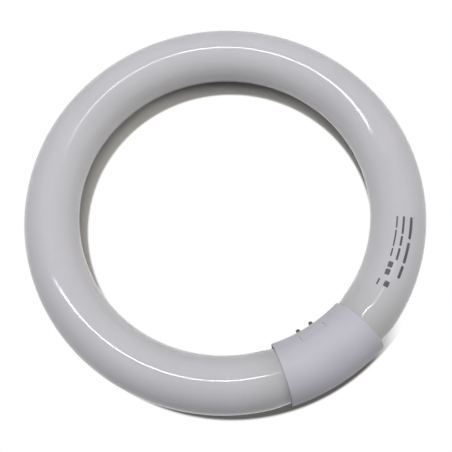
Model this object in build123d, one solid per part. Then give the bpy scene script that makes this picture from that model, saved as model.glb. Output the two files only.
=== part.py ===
"""Circular fluorescent tube: a ring of coated glass whose two sealed ends meet inside a
moulded cap with four contact pins. Millimetres, +Z up. The ring lies flat, the cap is on
the -Y side, and the origin is the middle of the footprint on the surface it lies on.
"""
from build123d import *
import math
import os

# Ring of glass tube
RING_OUTER_DIAMETER = 216.0
TUBE_DIAMETER = 29.0
NECK_DRAW = 0.5
NECK_TAPER_LENGTH = 9.0
NECK_TAPER_SECTIONS = 7
SEALED_END_GAP = 19.0
END_LIP_ROUNDING = 3.2
FUNNEL_MOUTH_RADIUS = 9.0
FUNNEL_FLOOR_RADIUS = 5.2
FUNNEL_DEPTH = 7.0
EXHAUST_STUB_RADIUS = 2.1
EXHAUST_STUB_LENGTH = 9.5

# Cap of two half shells, a little straighter than the ring and turned against it
CAP_LENGTH = 47.2
CAP_WALL = 1.1
CAP_CLEARANCE = 0.1
CAP_BEND_EXTRA = 7.0
CAP_SKEW_DEG = 1.3
CAP_EDGE_ROUNDING = 0.45
SEAM_GAP = 0.06
LAP_THICKNESS = 0.55
LAP_HEIGHT = 1.3
LAP_CLEARANCE = 0.06

# Ribs inside the cap that grip the glass
RIB_THICKNESS = 1.6
RIB_FROM_MIDDLE = 17.0
RIB_DEPTH = 1.8

# Snap tongues of the pin side shell, one on each seam
TONGUE_WIDTH = 15.2
TONGUE_RISE = 2.2
TONGUE_ROOT = 2.1
TONGUE_SLOT = 0.4
CATCH_RADIUS = 0.3
CATCH_LENGTH = 9.0
CATCH_RISE = 1.3

# Pin platform on the cap
PAD_LENGTH = 14.4
PAD_WIDTH = 12.4
PAD_RISE = 0.4
PAD_CORNER_RADIUS = 2.0
CORE_RADIUS = 3.0
BOSS_LENGTH = 12.6
BOSS_DEPTH = 3.6

# Contact pins
PIN_DIAMETER = 2.35
PIN_LENGTH = 6.7
PIN_PITCH_ALONG = 7.92
PIN_PITCH_ACROSS = 6.35
PIN_TILT_DEG = 47.5
PIN_OFFSET_ALONG = 1.3
PIN_TIP_ROUNDING = 0.55
PIN_SHANK_DIAMETER = 2.9
PIN_NECK_LENGTH = 1.3
PIN_BORE_RADIUS = 0.8
PIN_FLANGE_RADIUS = 2.0
PIN_FLANGE_THICKNESS = 0.5
PIN_HOLE_CLEARANCE = 0.02

# Lead wires from the sealed ends to the pins
WIRE_RADIUS = 0.35
WIRE_BEND_RADIUS = 2.4
WIRE_DEPTH = 1.5

# Values worked out from the ones above
tube_radius = TUBE_DIAMETER / 2
ring_radius = RING_OUTER_DIAMETER / 2 - tube_radius
neck_radius = tube_radius - NECK_DRAW
cap_bend_radius = ring_radius + CAP_BEND_EXTRA
skew = math.radians(CAP_SKEW_DEG)

# The cap clears the glass where its ends stand furthest to one side of the bent tube
end_lean = CAP_LENGTH / 2 * math.sin(skew)
end_bow = (CAP_LENGTH / 2) ** 2 * (1 / ring_radius - 1 / cap_bend_radius) / 2
cap_inner_radius = neck_radius + end_lean + end_bow + CAP_CLEARANCE
cap_outer_radius = cap_inner_radius + CAP_WALL
lap_radius = cap_inner_radius + LAP_THICKNESS

pin_radius = PIN_DIAMETER / 2
shank_radius = PIN_SHANK_DIAMETER / 2
pin_face = cap_outer_radius + PAD_RISE
boss_face = cap_inner_radius - BOSS_DEPTH
tilt = math.radians(PIN_TILT_DEG)

# The two seams lie a quarter turn each side of the pins, seen in the cap's section
PIN_DIRECTION_DEG = 180 + PIN_TILT_DEG
UPPER_SEAM_DEG = PIN_DIRECTION_DEG - 90
LOWER_SEAM_DEG = PIN_DIRECTION_DEG + 90

# Frame of the cap: its bend's centre, with X outwards through the cap's middle
cap_middle = Vector(0, -ring_radius, 0)
cap_inward = Vector(math.sin(skew), math.cos(skew), 0)
cap_tangent = Vector(math.cos(skew), -math.sin(skew), 0)
cap_bend_centre = cap_middle + cap_inward * cap_bend_radius
cap_frame = Location(tuple(cap_bend_centre), (0, 0, -90 - CAP_SKEW_DEG))

# Frame of the pins: origin on the cap's axis, X along the tube and Z out along the pins
pin_frame = Plane(
    origin=cap_middle + cap_tangent * PIN_OFFSET_ALONG,
    x_dir=cap_tangent,
    z_dir=cap_inward * math.cos(tilt) - Vector(0, 0, math.sin(tilt)),
)

# Place of the ring's centre over the origin, with the lowest pin tips at height zero
pin_tip_drop = (
    (pin_face + PIN_LENGTH - PIN_TIP_ROUNDING) * math.sin(tilt)
    + (PIN_PITCH_ACROSS / 2 + pin_radius - PIN_TIP_ROUNDING) * math.cos(tilt)
    + PIN_TIP_ROUNDING
)
axis_height = max(pin_tip_drop, cap_outer_radius)
cap_front = cap_bend_centre.Y - cap_bend_radius - cap_outer_radius
ring_back = ring_radius + tube_radius
place = Location((0, -(cap_front + ring_back) / 2, axis_height))


def arc_degrees(length, radius):
    """Angle of an arc of this length."""
    return math.degrees(length / radius)


def cap_sector(inner, outer, from_deg, to_deg, start, end):
    """Part of a bent tube about the cap's axis, in the ring's frame.

    inner and outer are radii in the section, from_deg and to_deg are directions in it
    (0 outwards, 90 up), and start and end are places along the axis from the middle.
    """
    centre = (cap_bend_radius, 0)
    sweep = to_deg - from_deg
    outside = CenterArc(centre, outer, from_deg, sweep)
    inside = CenterArc(centre, inner, from_deg, sweep)
    face = Plane.XZ * make_face(
        [outside, Line(outside @ 1, inside @ 1), inside, Line(inside @ 0, outside @ 0)]
    )
    body = revolve(face, axis=Axis.Z, revolution_arc=arc_degrees(end - start, cap_bend_radius))
    return cap_frame * Rot(0, 0, arc_degrees(start, cap_bend_radius)) * body


def axis_plane(centre, radius, turn_deg):
    """Plane across a bent axis: X outwards, Y up, at this turn about the bend's centre."""
    outwards = Vector(math.cos(math.radians(turn_deg)), math.sin(math.radians(turn_deg)), 0)
    return Plane(
        origin=centre + outwards * radius, x_dir=outwards, z_dir=outwards.cross(Vector(0, 0, 1))
    )


def turned(profile, from_deg=0, to_deg=360):
    """Closed profile of (radius, height) lines and arcs turned about Z."""
    face = Plane.XZ * make_face(profile)
    return Rot(0, 0, from_deg) * revolve(face, axis=Axis.Z, revolution_arc=to_deg - from_deg)


def glass_end(side):
    """Plane at one sealed end of the glass, with Z pointing out of the glass.

    side is 1 for the end at +X of the cap's middle and -1 for the other.
    """
    turn = side * arc_degrees(SEALED_END_GAP / 2 + END_LIP_ROUNDING, ring_radius) - 90
    across = axis_plane(Vector(), ring_radius, turn)
    outwards = across.z_dir * side
    return Plane(
        origin=across.origin + outwards * END_LIP_ROUNDING, x_dir=(0, 0, 1), z_dir=outwards
    )


def bent_tube(radius, start, end):
    """Solid round bar bent along the ring's axis, between two places from the cap's middle."""
    section = Plane.XZ * Pos(ring_radius, 0) * Circle(radius)
    bar = revolve(section, axis=Axis.Z, revolution_arc=arc_degrees(end - start, ring_radius))
    return Rot(0, 0, arc_degrees(start, ring_radius) - 90) * bar


def neck_taper(side):
    """Glass that eases from the neck under the cap to the full tube beyond it."""
    sections = []
    for step in range(NECK_TAPER_SECTIONS):
        share = step / (NECK_TAPER_SECTIONS - 1)
        eased = (1 - math.cos(math.pi * share)) / 2
        along = CAP_LENGTH / 2 + share * NECK_TAPER_LENGTH
        across = axis_plane(Vector(), ring_radius, side * arc_degrees(along, ring_radius) - 90)
        sections.append(across * Circle(neck_radius + eased * NECK_DRAW))
    return loft(sections)


def make_glass_tube():
    """Closed ring of tube with necked, rounded ends, a funnel in each and one exhaust stub."""
    neck_start = SEALED_END_GAP / 2 + END_LIP_ROUNDING
    neck_end = CAP_LENGTH / 2
    tube_start = neck_end + NECK_TAPER_LENGTH
    ring = bent_tube(tube_radius, tube_start, math.tau * ring_radius - tube_start)
    ring += bent_tube(neck_radius, neck_start, neck_end)
    ring += bent_tube(neck_radius, -neck_end, -neck_start)
    land_radius = neck_radius - END_LIP_ROUNDING
    lip = CenterArc((land_radius, -END_LIP_ROUNDING), END_LIP_ROUNDING, 0, 90)
    lip_profile = [
        Line((0, -END_LIP_ROUNDING), lip @ 0),
        lip,
        Line(lip @ 1, (0, 0)),
        Line((0, 0), (0, -END_LIP_ROUNDING)),
    ]
    funnel_profile = Polyline(
        (0, 0),
        (FUNNEL_MOUTH_RADIUS, 0),
        (FUNNEL_FLOOR_RADIUS, -FUNNEL_DEPTH),
        (0, -FUNNEL_DEPTH),
        close=True,
    )
    for side in (-1, 1):
        ring += neck_taper(side)
        ring += glass_end(side) * turned(lip_profile)
        ring -= glass_end(side) * turned(funnel_profile)
    tip = CenterArc((0, EXHAUST_STUB_LENGTH - EXHAUST_STUB_RADIUS), EXHAUST_STUB_RADIUS, 0, 90)
    stub_profile = [
        Line((0, 0), (EXHAUST_STUB_RADIUS, 0)),
        Line((EXHAUST_STUB_RADIUS, 0), tip @ 0),
        tip,
        Line(tip @ 1, (0, 0)),
    ]
    return ring + glass_end(-1) * Pos(0, 0, -FUNNEL_DEPTH) * turned(stub_profile)


def plain_shell(from_deg, to_deg):
    """Half shell with rounded outer rims at both ends of the cap."""
    straight = CAP_LENGTH / 2 - CAP_EDGE_ROUNDING
    shell = cap_sector(
        cap_inner_radius, cap_outer_radius, from_deg, to_deg, -straight, straight
    )
    for side in (-1, 1):
        turn = side * arc_degrees(straight, cap_bend_radius) - 90 - CAP_SKEW_DEG
        across = axis_plane(cap_bend_centre, cap_bend_radius, turn)
        rim = CenterArc(
            (cap_outer_radius - CAP_EDGE_ROUNDING, 0), CAP_EDGE_ROUNDING, 0, -90 * side
        )
        inner_end = (cap_inner_radius, -CAP_EDGE_ROUNDING * side)
        rim_profile = [
            Line((cap_inner_radius, 0), rim @ 0),
            rim,
            Line(rim @ 1, inner_end),
            Line(inner_end, (cap_inner_radius, 0)),
        ]
        shell += across * turned(rim_profile, from_deg, to_deg)
    return shell


def ribs(from_deg, to_deg, glass):
    """Two ribs that fill the clearance and seat on the glass."""
    pair = Part()
    for middle in (-RIB_FROM_MIDDLE, RIB_FROM_MIDDLE):
        pair += cap_sector(
            cap_inner_radius - RIB_DEPTH,
            cap_inner_radius + LAP_THICKNESS / 2,
            from_deg,
            to_deg,
            middle - RIB_THICKNESS / 2,
            middle + RIB_THICKNESS / 2,
        )
    return pair - glass


def make_pin_side_shell(glass):
    """Half shell that carries the pins, with its lap rebate, tongues, ribs and platform."""
    seam = arc_degrees(SEAM_GAP / 2, cap_outer_radius)
    lap = arc_degrees(LAP_HEIGHT + LAP_CLEARANCE, cap_outer_radius)
    root = arc_degrees(TONGUE_ROOT, cap_outer_radius)
    rise = arc_degrees(TONGUE_RISE, cap_outer_radius)
    half = CAP_LENGTH / 2
    shell = plain_shell(UPPER_SEAM_DEG + seam, LOWER_SEAM_DEG - seam)
    rib_edge = lap + seam
    shell += ribs(UPPER_SEAM_DEG + rib_edge, LOWER_SEAM_DEG - rib_edge, glass)
    shell += pin_platform()
    for low, high, inner in (
        (UPPER_SEAM_DEG, UPPER_SEAM_DEG + lap, 1),
        (LOWER_SEAM_DEG - lap, LOWER_SEAM_DEG, -1),
    ):
        shell -= cap_sector(
            cap_inner_radius - RIB_DEPTH, lap_radius + LAP_CLEARANCE, low, high, -half, half
        )
        seam_deg = low if inner > 0 else high
        ends = sorted((seam_deg - inner * rise, seam_deg + inner * (seam + lap / 2)))
        shell += cap_sector(
            lap_radius + LAP_CLEARANCE,
            cap_outer_radius,
            *ends,
            -TONGUE_WIDTH / 2,
            TONGUE_WIDTH / 2,
        )
        for side in (-1, 1):
            middle = side * (TONGUE_WIDTH + TONGUE_SLOT) / 2
            ends = sorted((seam_deg, seam_deg + inner * root))
            shell -= cap_sector(
                cap_inner_radius - RIB_DEPTH,
                cap_outer_radius + PAD_RISE,
                *ends,
                middle - TONGUE_SLOT / 2,
                middle + TONGUE_SLOT / 2,
            )
        catch_deg = seam_deg - inner * arc_degrees(CATCH_RISE, cap_outer_radius)
        shell -= catch(catch_deg, CATCH_RADIUS + LAP_CLEARANCE)
    for spot in pin_spots():
        hole = Cylinder(shank_radius + PIN_HOLE_CLEARANCE, 2 * pin_face)
        shell -= pin_frame * Pos(*spot, pin_face) * hole
    return shell


def pin_platform():
    """Boss inside the wall and rounded flat pad outside it, square to the pins."""
    boss = Box(
        BOSS_LENGTH,
        2 * cap_outer_radius,
        cap_outer_radius - boss_face,
        align=(Align.CENTER, Align.CENTER, Align.MIN),
    )
    half = CAP_LENGTH / 2
    lap = arc_degrees(LAP_HEIGHT + LAP_CLEARANCE + SEAM_GAP, cap_outer_radius)
    round_body = cap_sector(
        CORE_RADIUS,
        (cap_inner_radius + cap_outer_radius) / 2,
        UPPER_SEAM_DEG + lap,
        LOWER_SEAM_DEG - lap,
        -half,
        half,
    )
    boss = (pin_frame * Pos(0, 0, boss_face) * boss) & round_body
    pad = extrude(
        pin_frame * Pos(0, 0, cap_inner_radius) * RectangleRounded(
            PAD_LENGTH, PAD_WIDTH, PAD_CORNER_RADIUS
        ),
        amount=pin_face - cap_inner_radius,
    )
    pad -= cap_sector(
        CORE_RADIUS, cap_inner_radius, UPPER_SEAM_DEG, LOWER_SEAM_DEG, -half, half
    )
    return boss + pad


def catch(direction_deg, radius):
    """Short bead along the cap on the lap's outer face, at this direction."""
    face = Plane.XZ * Pos(
        cap_bend_radius + lap_radius * math.cos(math.radians(direction_deg)),
        lap_radius * math.sin(math.radians(direction_deg)),
    ) * Circle(radius)
    bead = revolve(face, axis=Axis.Z, revolution_arc=arc_degrees(CATCH_LENGTH, cap_bend_radius))
    return cap_frame * Rot(0, 0, -arc_degrees(CATCH_LENGTH / 2, cap_bend_radius)) * bead


def make_back_shell(glass):
    """Half shell on the far side, with lap lips, recesses for the tongues and ribs."""
    seam = arc_degrees(SEAM_GAP / 2, cap_outer_radius)
    lap = arc_degrees(LAP_HEIGHT, cap_outer_radius)
    rise = arc_degrees(TONGUE_RISE + LAP_CLEARANCE, cap_outer_radius)
    half = CAP_LENGTH / 2
    lip_half = half - CAP_EDGE_ROUNDING
    start = LOWER_SEAM_DEG - 360
    shell = plain_shell(start + seam, UPPER_SEAM_DEG - seam)
    for seam_deg, into in ((start, -1), (UPPER_SEAM_DEG, 1)):
        ends = sorted((seam_deg - into * lap, seam_deg + into * lap))
        shell += cap_sector(cap_inner_radius, lap_radius, *ends, -lip_half, lip_half)
        ends = sorted((seam_deg, seam_deg - into * rise))
        notch_half = TONGUE_WIDTH / 2 + TONGUE_SLOT
        shell -= cap_sector(
            lap_radius, cap_outer_radius + PAD_RISE, *ends, -notch_half, notch_half
        )
        catch_deg = seam_deg - into * arc_degrees(CATCH_RISE, cap_outer_radius)
        bead = catch(catch_deg, CATCH_RADIUS)
        shell += bead & cap_sector(
            lap_radius - LAP_THICKNESS / 2, cap_outer_radius, *ends, -half, half
        )
    return shell + ribs(start + seam, UPPER_SEAM_DEG - seam, glass)


def pin_spots():
    """Centres of the four pins in the pin frame's plane."""
    return [
        (along * PIN_PITCH_ALONG / 2, across * PIN_PITCH_ACROSS / 2)
        for across in (-1, 1)
        for along in (-1, 1)
    ]


def make_contact_pin(spot):
    """Hollow pin with a rounded tip, a necked bore for the wire, a shank and a flange."""
    base = boss_face - PIN_FLANGE_THICKNESS
    tip = pin_face + PIN_LENGTH
    neck = tip - PIN_NECK_LENGTH
    rounding = CenterArc(
        (pin_radius - PIN_TIP_ROUNDING, tip - PIN_TIP_ROUNDING), PIN_TIP_ROUNDING, 0, 90
    )
    outside = Polyline(
        rounding @ 0,
        (pin_radius, pin_face),
        (shank_radius, pin_face),
        (shank_radius, boss_face),
        (PIN_FLANGE_RADIUS, boss_face),
        (PIN_FLANGE_RADIUS, base),
        (PIN_BORE_RADIUS, base),
        (PIN_BORE_RADIUS, neck - (PIN_BORE_RADIUS - WIRE_RADIUS)),
        (WIRE_RADIUS, neck),
        (WIRE_RADIUS, tip),
        rounding @ 1,
    )
    return pin_frame * Pos(*spot, 0) * turned([outside, rounding])


def make_lead_wire(spot):
    """Wire from the floor of a sealed end's funnel to the tip of one pin."""
    side = 1 if spot[0] > 0 else -1
    end = glass_end(side)
    tip = pin_frame.from_local_coords((spot[0], spot[1], pin_face + PIN_LENGTH))
    corner = pin_frame.from_local_coords((spot[0], spot[1], WIRE_DEPTH))
    near = end.to_local_coords(corner)
    start = end.from_local_coords((near.X, near.Y, -FUNNEL_DEPTH))
    path = FilletPolyline(start, corner, tip, radius=WIRE_BEND_RADIUS)
    section = Plane(origin=start, z_dir=path % 0) * Circle(WIRE_RADIUS)
    return sweep(section, path=path)


def save(solid, node):
    """Write one node in its place on the surface."""
    placed = place * solid
    placed.label = node
    export_step(placed, f"parts/{node}.step")


os.makedirs("parts", exist_ok=True)
glass_tube = make_glass_tube()
save(glass_tube, "glass_tube")
save(make_pin_side_shell(glass_tube), "cap_pin_side_shell")
save(make_back_shell(glass_tube), "cap_back_shell")
for number, spot in enumerate(pin_spots(), start=1):
    save(make_contact_pin(spot), f"contact_pin_{number}")
    save(make_lead_wire(spot), f"lead_wire_{number}")
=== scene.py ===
"""Looks of a circular fluorescent tube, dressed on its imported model.

Metres, +Z up. The ring lies flat, its cap is on the -Y side, and its four contact pins
point inwards and down. A place on the ring is a turn about its centre, in degrees from +X
towards +Y, and a direction in the tube's section, 0 outwards and 90 up.
"""
import logging
import math
from dataclasses import dataclass
from enum import Enum

import bpy
import numpy as np
from mathutils import Matrix, Vector


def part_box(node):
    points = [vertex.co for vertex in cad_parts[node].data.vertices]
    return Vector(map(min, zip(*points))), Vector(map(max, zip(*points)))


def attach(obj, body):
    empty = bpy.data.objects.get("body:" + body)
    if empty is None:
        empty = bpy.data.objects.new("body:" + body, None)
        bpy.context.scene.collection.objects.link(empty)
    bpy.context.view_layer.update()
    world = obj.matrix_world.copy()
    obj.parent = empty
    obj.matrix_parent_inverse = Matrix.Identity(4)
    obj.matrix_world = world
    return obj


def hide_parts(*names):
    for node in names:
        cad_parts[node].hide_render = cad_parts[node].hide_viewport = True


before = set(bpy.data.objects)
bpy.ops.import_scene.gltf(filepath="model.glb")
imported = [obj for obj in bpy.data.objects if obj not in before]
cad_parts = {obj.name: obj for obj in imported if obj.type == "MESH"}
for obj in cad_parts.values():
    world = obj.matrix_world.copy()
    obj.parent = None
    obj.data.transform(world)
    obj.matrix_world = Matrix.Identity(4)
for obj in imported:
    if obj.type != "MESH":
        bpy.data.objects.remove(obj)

LOG = logging.getLogger("circular_tube")
MM = 0.001
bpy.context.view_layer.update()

# Linear red, green and blue, then a place in metres, then the ends of a ramp.
Colour = tuple[float, float, float]
Place = tuple[float, float, float]
Edges = tuple[float, float]

WHITE: Colour = (1.0, 1.0, 1.0)

# Sockets of a colour Mix node, whose names it shares with those of its other kinds.
MIX_SHARE, MIX_FIRST, MIX_SECOND, MIX_RESULT = 0, 6, 7, 2


def screen_colour(red: int, green: int, blue: int) -> Colour:
    """Linear colour of one that a screen shows with these values.

    With c the value over 255, it is c / 12.92 up to 0.04045, and from there on
    ((c + 0.055) / 1.055) ^ 2.4.

    Args:
        red: Value from 0 to 255, and green and blue likewise.

    Returns:
        The three linear values.
    """
    levels = (channel / 255 for channel in (red, green, blue))
    return tuple(v / 12.92 if v <= 0.04045 else ((v + 0.055) / 1.055) ** 2.4 for v in levels)


class Slot(Enum):
    """Material slots of the record."""

    GLASS = "coated_glass"
    PLASTIC = "cap_plastic"
    BRASS = "pin_brass"
    WIRE = "wire_metal"


class Graph:
    """Node tree of one material or world, filled through a single method."""

    def __init__(self, owner: bpy.types.Material | bpy.types.World) -> None:
        """Empty the owner's tree and keep it.

        Args:
            owner: Material or world that the tree belongs to.
        """
        owner.use_nodes = True
        self.tree = owner.node_tree
        self.tree.nodes.clear()

    def node(
        self, kind: str, settings: dict | None = None, inputs: dict | None = None
    ) -> bpy.types.Node:
        """Add one node.

        Args:
            kind: Type of the node, without its ShaderNode prefix.
            settings: Properties, which are set first.
            inputs: Value or link of each socket, by its name or number.

        Returns:
            The new node.
        """
        made = self.tree.nodes.new("ShaderNode" + kind)
        for name, setting in (settings or {}).items():
            setattr(made, name, setting)
        for name, given in (inputs or {}).items():
            socket = made.inputs[name]
            source = given.socket if isinstance(given, Value) else given
            if isinstance(source, bpy.types.NodeSocket):
                self.tree.links.new(source, socket)
            elif socket.type == "RGBA" and len(source) == 3:
                socket.default_value = (*source, 1.0)
            else:
                socket.default_value = source
        return made

    def value(self, socket: bpy.types.NodeSocket) -> "Value":
        """Wrap a socket for arithmetic."""
        return Value(self, socket)

    def place(self) -> "tuple[Value, Value, Value]":
        """Object coordinates in metres.

        Returns:
            Their x, y and z.
        """
        coordinates = self.node("TexCoord").outputs["Object"]
        parts = self.node("SeparateXYZ", inputs={"Vector": coordinates}).outputs
        return tuple(self.value(parts[axis]) for axis in "XYZ")

    def attribute(self, name: str) -> "Value":
        """A number kept on the mesh's points."""
        return self.value(self.node("Attribute", {"attribute_name": name}).outputs["Fac"])

    def noise(self, size: float, detail: float = 2.0, roughness: float = 0.5) -> "Value":
        """Noise between 0 and 1 on Object coordinates.

        Args:
            size: Size of its features in metres.
            detail: Number of finer octaves.
            roughness: Strength of each finer octave.

        Returns:
            The noise's value.
        """
        inputs = {
            "Vector": self.node("TexCoord").outputs["Object"],
            "Scale": 1 / size,
            "Detail": detail,
            "Roughness": roughness,
        }
        return self.value(self.node("TexNoise", inputs=inputs).outputs["Fac"])

    def mix(
        self,
        share: "Value | float",
        first: "Colour | bpy.types.NodeSocket",
        second: "Colour | bpy.types.NodeSocket",
    ) -> bpy.types.NodeSocket:
        """Blend two colours.

        Args:
            share: 0 for the first colour, 1 for the second.
            first: Colour or colour socket.
            second: Colour or colour socket.

        Returns:
            Socket of the blended colour.
        """
        inputs = {MIX_SHARE: share, MIX_FIRST: first, MIX_SECOND: second}
        return self.node("Mix", {"data_type": "RGBA"}, inputs).outputs[MIX_RESULT]

    def bump(self, height: "Value", depth: float) -> bpy.types.NodeSocket:
        """Normal of a surface with this relief.

        Args:
            height: Relief, 0 to 1.
            depth: Depth in metres that a height of 1 stands for.

        Returns:
            Socket of the normal.
        """
        inputs = {"Height": height, "Distance": depth}
        return self.node("Bump", inputs=inputs).outputs["Normal"]

    def surface(self, **sockets: object) -> None:
        """Finish the tree with a Principled shader.

        Args:
            sockets: Value or link of each of its sockets, with _ for a space in the name.
        """
        inputs = {name.replace("_", " "): given for name, given in sockets.items()}
        shader = self.node("BsdfPrincipled", inputs=inputs)
        self.node("OutputMaterial", inputs={"Surface": shader.outputs[0]})


@dataclass(frozen=True)
class Value:
    """One number that varies over a surface. Arithmetic on it adds Math nodes."""

    graph: Graph
    socket: bpy.types.NodeSocket

    def _math(self, operation: str, *terms: "Value | float", clamp: bool = False) -> "Value":
        """Result of one Math node.

        Args:
            operation: The node's operation.
            terms: Its terms, in order.
            clamp: Whether the result is kept between 0 and 1.

        Returns:
            The result.
        """
        inputs = dict(enumerate(terms))
        made = self.graph.node("Math", {"operation": operation, "use_clamp": clamp}, inputs)
        return Value(self.graph, made.outputs[0])

    def __add__(self, other: "Value | float") -> "Value":
        """Sum."""
        return self._math("ADD", self, other)

    __radd__ = __add__

    def __sub__(self, other: "Value | float") -> "Value":
        """Difference."""
        return self._math("SUBTRACT", self, other)

    def __rsub__(self, other: float) -> "Value":
        """Difference from a number."""
        return self._math("SUBTRACT", other, self)

    def __mul__(self, other: "Value | float") -> "Value":
        """Product."""
        return self._math("MULTIPLY", self, other)

    __rmul__ = __mul__

    def sine(self) -> "Value":
        """Sine of an angle in radians."""
        return self._math("SINE", self)

    def root(self) -> "Value":
        """Square root."""
        return self._math("SQRT", self)

    def either(self, other: "Value | float") -> "Value":
        """The larger of the two."""
        return self._math("MAXIMUM", self, other)

    def clamped(self) -> "Value":
        """Kept between 0 and 1."""
        return self._math("ADD", self, 0.0, clamp=True)

    def ramp(self, low: float, high: float) -> "Value":
        """Smooth rise of this number.

        Args:
            low: Where the rise starts, at 0.
            high: Where it ends, at 1.

        Returns:
            The rise, kept between 0 and 1.
        """
        made = self.graph.node(
            "MapRange",
            {"interpolation_type": "SMOOTHSTEP"},
            {"Value": self, "From Min": low, "From Max": high},
        )
        return Value(self.graph, made.outputs[0])


@dataclass(frozen=True)
class Finish:
    """A finish and the record's slot that it belongs to."""

    name: str
    slot: Slot

    def material(self) -> bpy.types.Material:
        """Make this finish's material.

        Returns:
            A new material with the finish's nodes.
        """
        made = bpy.data.materials.new(self.name)
        self.fill(Graph(made))
        return made

    def fill(self, graph: Graph) -> None:
        """Add the nodes. Each finish has its own."""
        raise NotImplementedError

    def dress(self, piece: bpy.types.Object) -> None:
        """Put the finish on a piece, as its only material."""
        piece.data.materials.clear()
        piece.data.materials.append(self.material())


@dataclass(frozen=True)
class CoatedGlass(Finish):
    """Glossy glass over a matt white powder, a little greyer beside the cap."""

    name: str = "coated_glass"
    slot: Slot = Slot.GLASS
    powder: Colour = screen_colour(194, 193, 196)
    thin_powder: Colour = screen_colour(189, 189, 191)
    end_tint: Colour = screen_colour(180, 181, 179)
    powder_roughness: float = 0.6
    powder_specular: float = 0.2
    gloss_roughness: float = 0.07
    glass_index: float = 1.4
    cloud_size: float = 45.0 * MM
    cloud_edges: Edges = (0.35, 0.7)
    grain_size: float = 0.7 * MM
    grain_share: float = 0.3
    ripple_size: float = 30.0 * MM
    ripple_depth: float = 0.06 * MM
    tint_reach: float = 28.0 * MM
    tint_share: float = 0.8

    def fill(self, graph: Graph) -> None:
        """Powder colour with faint clouds and grain, tinted near the cap.

        Args:
            graph: Tree of the material.
        """
        clouds = graph.noise(self.cloud_size, detail=3.0).ramp(*self.cloud_edges)
        grain = graph.noise(self.grain_size, detail=1.0)
        uneven = (clouds * (1 - self.grain_share) + grain * self.grain_share).clamped()
        powder = graph.mix(uneven, self.powder, self.thin_powder)
        near_end = 1.0 - graph.attribute("from_cap").ramp(0.0, self.tint_reach)
        graph.surface(
            Base_Color=graph.mix(near_end * self.tint_share, powder, self.end_tint),
            Roughness=self.powder_roughness,
            Coat_Weight=1.0,
            Coat_Roughness=self.gloss_roughness,
            Coat_IOR=self.glass_index,
            Specular_IOR_Level=self.powder_specular,
            Normal=graph.bump(graph.noise(self.ripple_size, detail=1.0), self.ripple_depth),
        )


@dataclass(frozen=True)
class MouldedPlastic(Finish):
    """Matt lilac-white moulding with a fine spark-eroded texture."""

    name: str = "moulded_plastic"
    slot: Slot = Slot.PLASTIC
    body: Colour = screen_colour(192, 191, 199)
    flow: Colour = screen_colour(188, 187, 193)
    least_roughness: float = 0.44
    texture_roughness: float = 0.12
    specular: float = 0.35
    texture_size: float = 0.35 * MM
    texture_depth: float = 0.012 * MM
    flow_size: float = 20.0 * MM
    flow_edges: Edges = (0.3, 0.7)

    def fill(self, graph: Graph) -> None:
        """Body colour with slow flow shades, broken gloss and a fine texture.

        Args:
            graph: Tree of the material.
        """
        texture = graph.noise(self.texture_size, detail=3.0, roughness=0.6)
        flow = graph.noise(self.flow_size).ramp(*self.flow_edges)
        graph.surface(
            Base_Color=graph.mix(flow, self.body, self.flow),
            Roughness=texture * self.texture_roughness + self.least_roughness,
            Specular_IOR_Level=self.specular,
            Normal=graph.bump(texture, self.texture_depth),
        )


@dataclass(frozen=True)
class TurnedBrass(Finish):
    """Dull brass with fine turned rings and a dark tip."""

    name: str = "turned_brass"
    slot: Slot = Slot.BRASS
    bright: Colour = screen_colour(150, 146, 116)
    tarnish: Colour = screen_colour(84, 83, 64)
    tip: Colour = screen_colour(34, 35, 29)
    least_roughness: float = 0.28
    tarnish_roughness: float = 0.2
    cloud_size: float = 1.2 * MM
    cloud_edges: Edges = (0.3, 0.75)
    ring_pitch: float = 0.18 * MM
    ring_depth: float = 0.006 * MM
    tilt: float = 0.0
    tip_place: float = 0.0
    tip_reach: float = 2.8 * MM

    def fill(self, graph: Graph) -> None:
        """Tarnish in clouds, darkening over the last part of each pin.

        The distance from the plane through all four tips is worked out along the pins'
        own direction, which is +Y turned down by their tilt.

        Args:
            graph: Tree of the material.
        """
        _, y, z = graph.place()
        along = y * math.cos(self.tilt) - z * math.sin(self.tilt) - self.tip_place
        clouds = graph.noise(self.cloud_size, detail=3.0, roughness=0.6)
        clouds = clouds.ramp(*self.cloud_edges)
        rings = (along * (2 * math.pi / self.ring_pitch)).sine() * 0.5 + 0.5
        colour = graph.mix(clouds, self.bright, self.tarnish)
        dark = along.ramp(-self.tip_reach, 0.0)
        graph.surface(
            Base_Color=graph.mix(dark, colour, self.tip),
            Metallic=1.0,
            Roughness=clouds * self.tarnish_roughness + self.least_roughness,
            Normal=graph.bump(rings, self.ring_depth),
        )


@dataclass(frozen=True)
class TinnedWire(Finish):
    """Grey tinned wire."""

    name: str = "tinned_wire"
    slot: Slot = Slot.WIRE
    clean: Colour = screen_colour(176, 176, 172)
    dull: Colour = screen_colour(120, 120, 116)
    least_roughness: float = 0.25
    dull_roughness: float = 0.3
    patch_size: float = 0.8 * MM
    scratch_size: float = 0.2 * MM
    scratch_depth: float = 0.004 * MM

    def fill(self, graph: Graph) -> None:
        """Clean and dull patches on metal, with fine scratches.

        Args:
            graph: Tree of the material.
        """
        patches = graph.noise(self.patch_size)
        graph.surface(
            Base_Color=graph.mix(patches, self.clean, self.dull),
            Metallic=1.0,
            Roughness=patches * self.dull_roughness + self.least_roughness,
            Normal=graph.bump(graph.noise(self.scratch_size), self.scratch_depth),
        )


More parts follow.
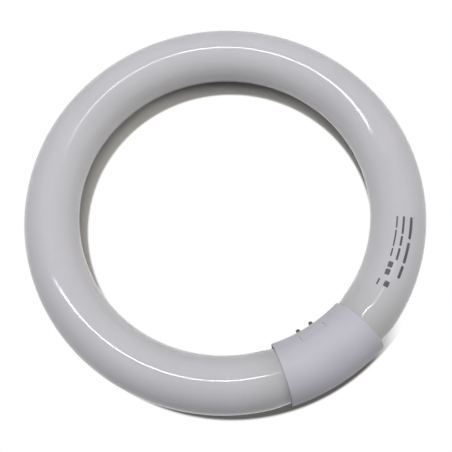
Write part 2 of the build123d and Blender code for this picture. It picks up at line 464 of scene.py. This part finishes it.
@dataclass(frozen=True)
class FiredInk(Finish):
    """Thin dark grey ink, fired on the glass."""

    name: str = "fired_ink"
    slot: Slot = Slot.GLASS
    full: Colour = screen_colour(64, 62, 68)
    worn: Colour = screen_colour(92, 90, 95)
    least_roughness: float = 0.35
    worn_roughness: float = 0.2
    patch_size: float = 0.5 * MM
    patch_edges: Edges = (0.35, 0.75)
    patch_depth: float = 0.005 * MM

    def fill(self, graph: Graph) -> None:
        """Dark and slightly worn patches with a dull gloss.

        Args:
            graph: Tree of the material.
        """
        worn = graph.noise(self.patch_size).ramp(*self.patch_edges)
        graph.surface(
            Base_Color=graph.mix(worn, self.full, self.worn),
            Roughness=worn * self.worn_roughness + self.least_roughness,
            Normal=graph.bump(worn, self.patch_depth),
        )


@dataclass(frozen=True)
class Ring:
    """The tube's bent axis and section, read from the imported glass."""

    centre: Vector
    bend_radius: float
    tube_radius: float

    @classmethod
    def of_model(cls) -> "Ring":
        """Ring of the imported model, whose glass spans its full diameter along X.

        Its mesh lies a little inside its circles, so the radii are taken to the nearest
        tenth of a millimetre.

        Returns:
            The ring.
        """
        low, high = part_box("glass_tube")
        outer = round((high.x - low.x) / 2, 4)
        tube = round((high.z - low.z) / 2, 4)
        centre = Vector(((low.x + high.x) / 2, high.y - outer, (low.z + high.z) / 2))
        return cls(centre, outer - tube, tube)

    def points(
        self,
        turn: np.ndarray,
        around: np.ndarray,
        radius: np.ndarray | float,
        forward: np.ndarray | float = 0.0,
    ) -> np.ndarray:
        """Points round the bent axis.

        At turn t and direction a, with the axis at c + R * out(t), a point is that place
        + forward * along(t) + radius * (cos(a) * out(t) + sin(a) * up), where
        out(t) = (cos t, sin t, 0) and along(t) = (-sin t, cos t, 0).

        Args:
            turn: Turns in radians.
            around: Directions in the section, in radians.
            radius: Distances from the axis.
            forward: Shifts along the axis.

        Returns:
            Array of points, one more dimension than the broadcast arguments.
        """
        turn, around, radius, forward = np.broadcast_arrays(turn, around, radius, forward)
        reach = self.bend_radius + radius * np.cos(around)
        x = self.centre.x + reach * np.cos(turn) - forward * np.sin(turn)
        y = self.centre.y + reach * np.sin(turn) + forward * np.cos(turn)
        z = self.centre.z + radius * np.sin(around)
        return np.stack([x, y, z], axis=-1)


def closed_surface(name: str, rows: np.ndarray, crease: float = 40.0) -> bpy.types.Object:
    """Closed piece from a grid of points, with a pole at each end.

    Quads join row i to i + 1 and column j to j + 1, the last column to the first, and fans
    close the poles. Faces point out where rows cross columns outwards.

    Args:
        name: Name of the piece.
        rows: Array of rows x columns x 3 points. The first and last row are one point each.
        crease: Edges sharper than this many degrees stay sharp.

    Returns:
        The new object, linked to the scene.
    """
    columns = rows.shape[1]
    inner = rows[1:-1]
    points = np.concatenate([rows[:1, 0], inner.reshape(-1, 3), rows[-1:, 0]])
    index = 1 + np.arange(len(inner) * columns).reshape(-1, columns)
    beside = np.roll(index, -1, axis=1)
    quads = np.stack([index[:-1], index[1:], beside[1:], beside[:-1]], axis=-1)
    first = np.stack([np.zeros(columns, int), index[0], beside[0]], axis=-1)
    last = np.stack([index[-1], np.full(columns, len(points) - 1), beside[-1]], axis=-1)
    mesh = bpy.data.meshes.new(name)
    faces = quads.reshape(-1, 4).tolist() + first.tolist() + last.tolist()
    mesh.from_pydata(points.tolist(), [], faces)
    mesh.shade_smooth()
    mesh.set_sharp_from_angle(angle=math.radians(crease))
    piece = bpy.data.objects.new(name, mesh)
    bpy.context.scene.collection.objects.link(piece)
    return piece


def add_to_part(piece: bpy.types.Object, finish: Finish, *replaced: str) -> None:
    """Dress a new piece, let it ride on the part and report it.

    Args:
        piece: The new piece.
        finish: Its finish.
        replaced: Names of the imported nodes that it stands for.
    """
    finish.dress(piece)
    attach(piece, "root")
    if replaced:
        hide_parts(*replaced)
    LOG.info("%s: %d faces", piece.name, len(piece.data.polygons))


@dataclass
class GlassTube:
    """Ring of glass with rounded sealed ends, a funnel in each and one exhaust stub."""

    ring: Ring
    sealed_gap: float = 19.0 * MM
    lip_rounding: float = 3.2 * MM
    funnel_mouth: float = 9.0 * MM
    funnel_floor: float = 5.2 * MM
    funnel_depth: float = 7.0 * MM
    stub_radius: float = 2.1 * MM
    stub_length: float = 9.5 * MM
    cap_half: float = 23.6 * MM
    neck_draw: float = 0.5 * MM
    neck_taper: float = 9.0 * MM
    stations: int = 440
    bunching: float = 0.55
    columns: int = 96
    arc_points: int = 13

    def build(self) -> None:
        """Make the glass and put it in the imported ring's place."""
        around = np.arange(self.columns) * 2 * math.pi / self.columns
        end_turn = (self.sealed_gap / 2 + self.lip_rounding) / self.ring.bend_radius
        turns = self._turns(end_turn)
        plain, stubbed = self._end_profile(False)[::-1], self._end_profile(True)
        turn = np.concatenate(
            [np.full(len(plain), turns[0]), turns, np.full(len(stubbed), turns[-1])]
        )
        radius = np.concatenate([plain[:, 0], self._tube_radius(turns), stubbed[:, 0]])
        forward = np.concatenate([-plain[:, 1], np.zeros(len(turns)), stubbed[:, 1]])
        grid = self.ring.points(turn[:, None], around, radius[:, None], forward[:, None])
        piece = closed_surface("glass_ring", grid)
        self._mark_distance(piece.data)
        add_to_part(piece, CoatedGlass(), "glass_tube")

    def _turns(self, end_turn: float) -> np.ndarray:
        """Turns of the tube's stations, closer together beside the cap.

        With u from -1 to 1, the turn from the far side is the full reach times
        u + k * sin(pi u) / pi, which bunches the stations at both ends.

        Args:
            end_turn: Turn from the middle of the sealed gap to the start of a lip.

        Returns:
            The turns in radians, from one end to the other.
        """
        u = np.linspace(-1, 1, self.stations)
        warped = u + self.bunching * np.sin(math.pi * u) / math.pi
        return math.pi / 2 + (math.pi - end_turn) * warped

    def _distance(self, turn: np.ndarray) -> np.ndarray:
        """Distance along the ring from the cap's nearer end, negative under the cap."""
        far = np.abs(turn - math.pi / 2)
        return (math.pi - far) * self.ring.bend_radius - self.cap_half

    def _tube_radius(self, turn: np.ndarray) -> np.ndarray:
        """Radius of the tube, drawn in to a neck that the cap covers.

        At a distance d outside the cap the glass is drawn in by
        draw * (1 + cos(pi * d / taper)) / 2, and by all of it under the cap.
        """
        held = np.clip(self._distance(turn) / self.neck_taper, 0, 1)
        return self.ring.tube_radius - self.neck_draw * (1 + np.cos(math.pi * held)) / 2

    def _end_profile(self, with_stub: bool) -> np.ndarray:
        """Profile of a sealed end, as pairs of radius and distance beyond the lip's start.

        It runs round the quarter circle of the lip, across the land, down the funnel's
        cone, across its floor and, with a stub, up its side and over its domed tip.

        Args:
            with_stub: Whether the exhaust stub stands in the funnel.

        Returns:
            Array of the pairs, from the outside to the axis.
        """
        lip = self.lip_rounding
        arc = np.linspace(0, math.pi / 2, self.arc_points)
        neck = self.ring.tube_radius - self.neck_draw
        rim = np.stack([neck - lip * (1 - np.cos(arc)), lip * np.sin(arc)], axis=1)
        floor = lip - self.funnel_depth
        corners = [(self.funnel_mouth, lip), (self.funnel_floor, floor)]
        if not with_stub:
            return np.concatenate([rim, corners, [(0.0, floor)]])
        side = floor + self.stub_length - self.stub_radius
        tip = np.stack(
            [self.stub_radius * np.cos(arc), side + self.stub_radius * np.sin(arc)], axis=1
        )
        return np.concatenate([rim, corners, [(self.stub_radius, floor)], tip])

    def _mark_distance(self, mesh: bpy.types.Mesh) -> None:
        """Keep each point's distance from the cap on the mesh, for the finish.

        Args:
            mesh: The glass's mesh.
        """
        places = np.empty(len(mesh.vertices) * 3)
        mesh.vertices.foreach_get("co", places)
        x, y, _ = places.reshape(-1, 3).T
        turn = np.arctan2(y - self.ring.centre.y, x - self.ring.centre.x)
        turn = np.where(turn < -math.pi / 2, turn + 2 * math.pi, turn)
        marks = mesh.attributes.new("from_cap", "FLOAT", "POINT")
        marks.data.foreach_set("value", self._distance(turn))


@dataclass(frozen=True)
class InkField:
    """One plain field of ink: ends of its turn, its direction and its width."""

    first_turn: float
    last_turn: float
    around: float
    width: float


@dataclass
class PrintedFields:
    """Plain fields in the place of the tube's print, bare of any lettering."""

    ring: Ring
    thickness: float = 0.02 * MM
    corner: float = 7.0
    rows: int = 36
    columns: int = 28
    first_column: float = 0.001
    fields: tuple[InkField, ...] = (
        InkField(-46.3, -39.3, 75.3, 1.5 * MM),
        InkField(-54.0, -47.4, 75.3, 1.5 * MM),
        InkField(-58.9, -54.9, 75.3, 1.5 * MM),
        InkField(-45.2, -39.3, 91.0, 1.1 * MM),
        InkField(-49.1, -45.8, 91.0, 1.1 * MM),
        InkField(-53.9, -49.9, 91.0, 1.1 * MM),
        InkField(-43.4, -39.3, 104.0, 0.8 * MM),
        InkField(-49.7, -44.0, 104.0, 0.8 * MM),
        InkField(-53.2, -50.3, 104.0, 0.8 * MM),
        InkField(-56.8, -54.8, 99.2, 2.4 * MM),
        InkField(-59.4, -57.4, 99.2, 2.4 * MM),
        InkField(-63.1, -61.2, 91.5, 2.6 * MM),
        InkField(-63.6, -61.3, 108.2, 0.8 * MM),
    )

    def build(self) -> None:
        """Make each field."""
        for number, item in enumerate(self.fields, start=1):
            piece = closed_surface(f"ink_field_{number}", self._grid(item), crease=60.0)
            add_to_part(piece, FiredInk())

    def _grid(self, item: InkField) -> np.ndarray:
        """Rows of one field, a flat strip bent over the glass.

        With u from -1 to 1 along it, its half width is w * (1 - |u|^n)^(1/n), and its
        section is the same kind of rounded rectangle, w by the ink's thickness, whose
        columns start just off the axes.

        Args:
            item: The field.

        Returns:
            Array of rows x columns x 3 points.
        """
        power = 2 / self.corner
        u = -np.cos(np.linspace(0, math.pi, self.rows))
        taper = np.clip(1 - np.abs(u) ** self.corner, 0, 1) ** (1 / self.corner)
        v = np.linspace(0, 2 * math.pi, self.columns, endpoint=False) + self.first_column
        across = np.sign(np.sin(v)) * np.abs(np.sin(v)) ** power
        proud = np.sign(np.cos(v)) * np.abs(np.cos(v)) ** power
        middle = math.radians(item.first_turn + item.last_turn) / 2
        half = math.radians(item.last_turn - item.first_turn) / 2
        turn = middle + half * u[:, None]
        half_width = item.width / 2 / self.ring.tube_radius
        around = math.radians(item.around) + half_width * taper[:, None] * across
        lift = self.thickness * proud * np.sign(taper[:, None])
        return self.ring.points(turn, around, self.ring.tube_radius + lift)


@dataclass
class Cap:
    """The moulded cap's two shells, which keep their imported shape."""

    nodes: tuple[str, ...] = ("cap_pin_side_shell", "cap_back_shell")

    def build(self) -> None:
        """Dress both shells."""
        for node in self.nodes:
            MouldedPlastic(name=f"moulded_plastic_{node}").dress(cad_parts[node])
            LOG.info("%s: dressed", node)


@dataclass
class Contacts:
    """The four contact pins and their lead wires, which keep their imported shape."""

    count: int = 4
    tilt: float = math.radians(47.5)
    pin_radius: float = 1.175 * MM
    tip_rounding: float = 0.55 * MM

    def build(self) -> None:
        """Dress the pins and the wires."""
        brass = TurnedBrass(tilt=self.tilt, tip_place=self._tip_place())
        for number in range(1, self.count + 1):
            brass.dress(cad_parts[f"contact_pin_{number}"])
            TinnedWire().dress(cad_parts[f"lead_wire_{number}"])
        LOG.info("contact pins and lead wires: %d each, dressed", self.count)

    def _tip_place(self) -> float:
        """Place of the tips' plane along the pins, from one pin's box.

        The box ends where the tip's rounding, of radius q on a pin of radius p, faces +Y
        and -Z. At a tilt a, that corner lies (p - q) * sin(2 a) + q * (sin(a) + cos(a) - 1)
        beyond the tips' plane.

        Returns:
            The place in metres.
        """
        low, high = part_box("contact_pin_1")
        sine, cosine = math.sin(self.tilt), math.cos(self.tilt)
        flat = self.pin_radius - self.tip_rounding
        beyond = 2 * flat * sine * cosine + self.tip_rounding * (sine + cosine - 1)
        return high.y * cosine - low.z * sine - beyond


@dataclass(frozen=True)
class PhotoView:
    """Places in the photograph's frame: the ring's centre, turned about the ring's axis."""

    ring: Ring
    turn: float = math.radians(-32.7)

    def point(self, x: float, y: float, z: float) -> Vector:
        """Scene place of one measured from the ring's centre in the photograph's frame."""
        return self.ring.centre + self.direction(x, y, z)

    def direction(self, x: float, y: float, z: float) -> Vector:
        """Scene direction of one in the photograph's frame."""
        return Matrix.Rotation(self.turn, 3, "Z") @ Vector((x, y, z))


@dataclass
class PhotoCamera:
    """Camera at the photograph's viewing angle."""

    view: PhotoView
    lens: float = 49.24
    sensor: float = 36.0
    distance: float = 335.5 * MM
    tilt: float = math.radians(18.91)
    azimuth: float = math.radians(5.82)
    aim_x: float = 1.273 * MM
    aim_y: float = -10.596 * MM
    near_clip: float = 0.01
    far_clip: float = 50.0

    def build(self) -> None:
        """Add the camera. Its up is the photograph's +Y, seen from above."""
        data = bpy.data.cameras.new("photo_camera")
        data.lens = self.lens
        data.sensor_width = self.sensor
        data.clip_start = self.near_clip
        data.clip_end = self.far_clip
        camera = bpy.data.objects.new("photo_camera", data)
        bpy.context.scene.collection.objects.link(camera)
        across = math.sin(self.tilt)
        place = self.view.point(
            self.distance * across * math.sin(self.azimuth),
            -self.distance * across * math.cos(self.azimuth),
            self.distance * math.cos(self.tilt),
        )
        forward = (self.view.point(self.aim_x, self.aim_y, 0.0) - place).normalized()
        camera.matrix_world = looking(place, forward, self.view.direction(0, 1, 0))
        bpy.context.scene.camera = camera


def looking(place: Vector, forward: Vector, upward: Vector) -> Matrix:
    """Matrix of a camera or lamp, which looks along its own -Z.

    Args:
        place: Where it stands.
        forward: Where it looks, of length 1.
        upward: Direction that its Y is turned to as nearly as can be.

    Returns:
        The matrix.
    """
    right = forward.cross(upward).normalized()
    axes = Matrix((right, right.cross(forward), -forward)).transposed()
    return Matrix.Translation(place) @ axes.to_4x4()


@dataclass(frozen=True)
class Panel:
    """Rectangular lamp that faces the ring, measured in the photograph's frame.

    Its width runs from its start to its end. The glass mirrors it only where it is sharp.
    """

    name: str
    start: Place
    end: Place
    depth: float
    power: float
    colour: Colour = WHITE
    sharp: bool = False

    def build(self, view: PhotoView) -> None:
        """Add the lamp, facing the ring's centre.

        Args:
            view: The photograph's frame.
        """
        start, end = view.point(*self.start), view.point(*self.end)
        data = bpy.data.lights.new(self.name, "AREA")
        data.shape = "RECTANGLE"
        data.size = (end - start).length
        data.size_y = self.depth
        data.energy = self.power
        data.color = self.colour
        lamp = bpy.data.objects.new(self.name, data)
        lamp.visible_glossy = self.sharp
        bpy.context.scene.collection.objects.link(lamp)
        place = (start + end) / 2
        forward = (view.ring.centre - place).normalized()
        lamp.matrix_world = looking(place, forward, forward.cross(end - start))


@dataclass(frozen=True)
class Batten:
    """Line of ceiling light that fades in steps beyond both ends of its full part.

    Each step of a tail has a length and a share of the full brightness.
    """

    start: Place = (-0.84, 0.288, 2.2)
    end: Place = (0.020, 0.430, 2.2)
    depth: float = 0.1
    power_per_metre: float = 11.6
    colour: Colour = (1.0, 1.0, 1.12)
    tail_lengths: tuple[float, ...] = (0.12, 0.14, 0.18, 0.2)
    tail_shares: tuple[float, ...] = (0.7, 0.45, 0.22, 0.1)

    def panels(self) -> list[Panel]:
        """Divide the line of light into panels.

        Returns:
            Panels of the full part and of each step of both tails.
        """
        start, end = Vector(self.start), Vector(self.end)
        along = (end - start).normalized()
        steps = list(zip(self.tail_lengths, self.tail_shares))
        made = [self._piece("ceiling_batten", start, end, 1.0)]
        for side, place, way in (("left", start, -along), ("right", end, along)):
            for number, (length, share) in enumerate(steps, start=1):
                beyond = place + way * length
                made.append(self._piece(f"batten_{side}_{number}", place, beyond, share))
                place = beyond
        return made

    def _piece(self, name: str, start: Vector, end: Vector, share: float) -> Panel:
        """Panel between two places, with this share of the full brightness."""
        power = self.power_per_metre * share * (end - start).length
        return Panel(name, tuple(start), tuple(end), self.depth, power, self.colour, sharp=True)


@dataclass(frozen=True)
class FloorCircle:
    """Circle on the floor, measured in the photograph's frame."""

    x: float
    y: float
    radius: float

    def distance(self, graph: Graph, view: PhotoView) -> Value:
        """Distance outwards from the circle.

        Args:
            graph: Tree of the floor's material.
            view: The photograph's frame.

        Returns:
            The distance, negative inside the circle.
        """
        x, y, _ = graph.place()
        centre = view.point(self.x, self.y, 0.0)
        right, up = x - centre.x, y - centre.y
        return (right * right + up * up).root() - self.radius


@dataclass(frozen=True)
class FloorLine:
    """Line on the floor, square to a turn of the photograph's frame, off the centre."""

    turn: float
    offset: float

    def distance(self, graph: Graph, view: PhotoView) -> Value:
        """Distance past the line.

        Args:
            graph: Tree of the floor's material.
            view: The photograph's frame.

        Returns:
            The distance, negative on the side of the ring's centre.
        """
        x, y, _ = graph.place()
        centre = view.ring.centre
        way = view.direction(math.cos(self.turn), math.sin(self.turn), 0.0)
        return (x - centre.x) * way.x + (y - centre.y) * way.y - self.offset


@dataclass(frozen=True)
class ShadowOutline:
    """Outline of the floor's shadow: between two circles, and faded out beside the cap. Inside it
    the camera sees the floor's grey matt colour, so the shape of the dark patch and part of its
    darkness are painted shadow, and the rest is the rendered shadow.
    """

    inner: FloorCircle = FloorCircle(2.96 * MM, -3.86 * MM, 80.6 * MM)
    outer: FloorCircle = FloorCircle(3.7 * MM, 0.9 * MM, 111.2 * MM)
    edge_blur: float = 0.8 * MM
    end: FloorLine = FloorLine(math.radians(-5.0), 92.0 * MM)
    end_blur: float = 10.0 * MM

    def outside(self, graph: Graph, view: PhotoView) -> Value:
        """Share of plain white on the floor.

        Args:
            graph: Tree of the floor's material.
            view: The photograph's frame.

        Returns:
            The share, 0 in the painted shadow patch and 1 outside it.
        """
        inside, outside = (rim.distance(graph, view) for rim in (self.inner, self.outer))
        rims = (0.0 - inside).either(outside).ramp(-self.edge_blur, self.edge_blur)
        past = self.end.distance(graph, view).ramp(-self.end_blur, self.end_blur)
        return rims.either(past)


@dataclass
class Studio:
    """Pale floor that the ring rests on, with a painted shadow patch of grey beside the ring,
    plain white surroundings and soft lamps.
    """

    view: PhotoView
    floor_reach: float = 6.0
    floor_lines: int = 3
    # Grey matt colour that the floor bounces light with everywhere. The camera sees it only inside
    # the shadow outline, where it is painted shadow on top of the rendered shade.
    floor_colour: Colour = (0.46, 0.45, 0.43)
    shadow: ShadowOutline = ShadowOutline()
    batten: Batten = Batten()
    lamps: tuple[Panel, ...] = (
        Panel("hood", (-0.08, 0.02, 0.30), (0.08, 0.02, 0.30), 0.16, 0.4, (1.0, 1.0, 0.94)),
        Panel("sky", (-0.25, 0.52, 0.90), (0.25, 0.52, 0.90), 0.5, 0.6, (0.9, 0.8, 1.3)),
        Panel("far_wall", (-0.25, 0.92, 0.50), (0.25, 0.92, 0.50), 0.5, 0.6),
        Panel("right_wall", (1.85, 0.50, 0.99), (1.85, -0.50, 0.99), 1.0, 14.5, (1.02, 1.0, 0.94)),
        Panel("left_wall", (-1.85, -0.50, 0.99), (-1.85, 0.50, 0.99), 1.0, 11.0, (1.0, 1.0, 0.97)),
        Panel("near_wall", (0.50, -1.85, 0.99), (-0.50, -1.85, 0.99), 1.0, 1.9, (0.98, 0.95, 1.3)),
    )

    def build(self) -> None:
        """Add the floor, the world and the lamps."""
        self._add_floor()
        self._fill_world()
        for lamp in (*self.batten.panels(), *self.lamps):
            lamp.build(self.view)
        bpy.context.scene.view_settings.view_transform = "Standard"

    def _add_floor(self) -> None:
        """Square floor through the lowest pin tips and the far side of the glass.

        Its height is slope * (y - y0), with y0 at the pin tips and the slope that of the
        line from there to the glass's lowest point on the far side.
        """
        ring = self.view.ring
        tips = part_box("contact_pin_3")
        tip_y = (tips[0].y + tips[1].y) / 2
        far_y = ring.centre.y + ring.bend_radius
        slope = (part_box("glass_tube")[0].z - tips[0].z) / (far_y - tip_y)
        side = np.linspace(-self.floor_reach, self.floor_reach, self.floor_lines)
        x, y = np.meshgrid(side, side + ring.centre.y)
        points = np.stack([x, y, slope * (y - tip_y)], axis=-1).reshape(-1, 3)
        index = np.arange(self.floor_lines**2).reshape(self.floor_lines, -1)
        quads = np.stack(
            [index[:-1, :-1], index[:-1, 1:], index[1:, 1:], index[1:, :-1]], axis=-1
        )
        mesh = bpy.data.meshes.new("pale_floor")
        mesh.from_pydata(points.tolist(), [], quads.reshape(-1, 4).tolist())
        floor = bpy.data.objects.new("pale_floor", mesh)
        bpy.context.scene.collection.objects.link(floor)
        mesh.materials.append(self._floor_material())

    def _floor_material(self) -> bpy.types.Material:
        """Matt grey floor that keeps the rendered shadow. It is seen and mirrored grey only inside
        the shadow outline, as a painted shadow patch, and plain white outside it.

        Returns:
            The floor's material.
        """
        made = bpy.data.materials.new("pale_floor")
        graph = Graph(made)
        # Painted shadow: inside the outline the grey matt floor shows, darker than the white
        # around it.
        share = self.shadow.outside(graph, self.view) * seen_rays(graph)
        matt = graph.node("BsdfDiffuse", inputs={"Color": self.floor_colour})
        white = graph.node("Emission", inputs={"Color": WHITE, "Strength": 1.0})
        inputs = dict(enumerate((share, matt.outputs[0], white.outputs[0])))
        mixed = graph.node("MixShader", inputs=inputs)
        graph.node("OutputMaterial", inputs={"Surface": mixed.outputs[0]})
        return made

    def _fill_world(self) -> None:
        """Plain white where it is seen or mirrored, without light on matt surfaces."""
        world = bpy.data.worlds.new("plain_surroundings")
        bpy.context.scene.world = world
        graph = Graph(world)
        inputs = {"Color": WHITE, "Strength": seen_rays(graph)}
        background = graph.node("Background", inputs=inputs)
        graph.node("OutputWorld", inputs={"Surface": background.outputs[0]})


def seen_rays(graph: Graph) -> Value:
    """Tell rays that see or mirror a surface from those that it lights.

    Args:
        graph: Tree of the surface's material or of the world.

    Returns:
        1 for camera, glossy and transmission rays, 0 for the rest.
    """
    path = graph.node("LightPath").outputs
    seen = graph.value(path["Is Camera Ray"])
    return seen.either(graph.value(path["Is Glossy Ray"])).either(
        graph.value(path["Is Transmission Ray"])
    )


def main() -> None:
    """Build the pieces in order, then the camera and the studio."""
    logging.basicConfig(level=logging.INFO, format="%(name)s: %(message)s")
    ring = Ring.of_model()
    view = PhotoView(ring)
    for part in (
        GlassTube(ring),
        PrintedFields(ring),
        Cap(),
        Contacts(),
        PhotoCamera(view),
        Studio(view),
    ):
        part.build()
        LOG.info("%s: built", type(part).__name__)


if __name__ == "__main__":
    main()
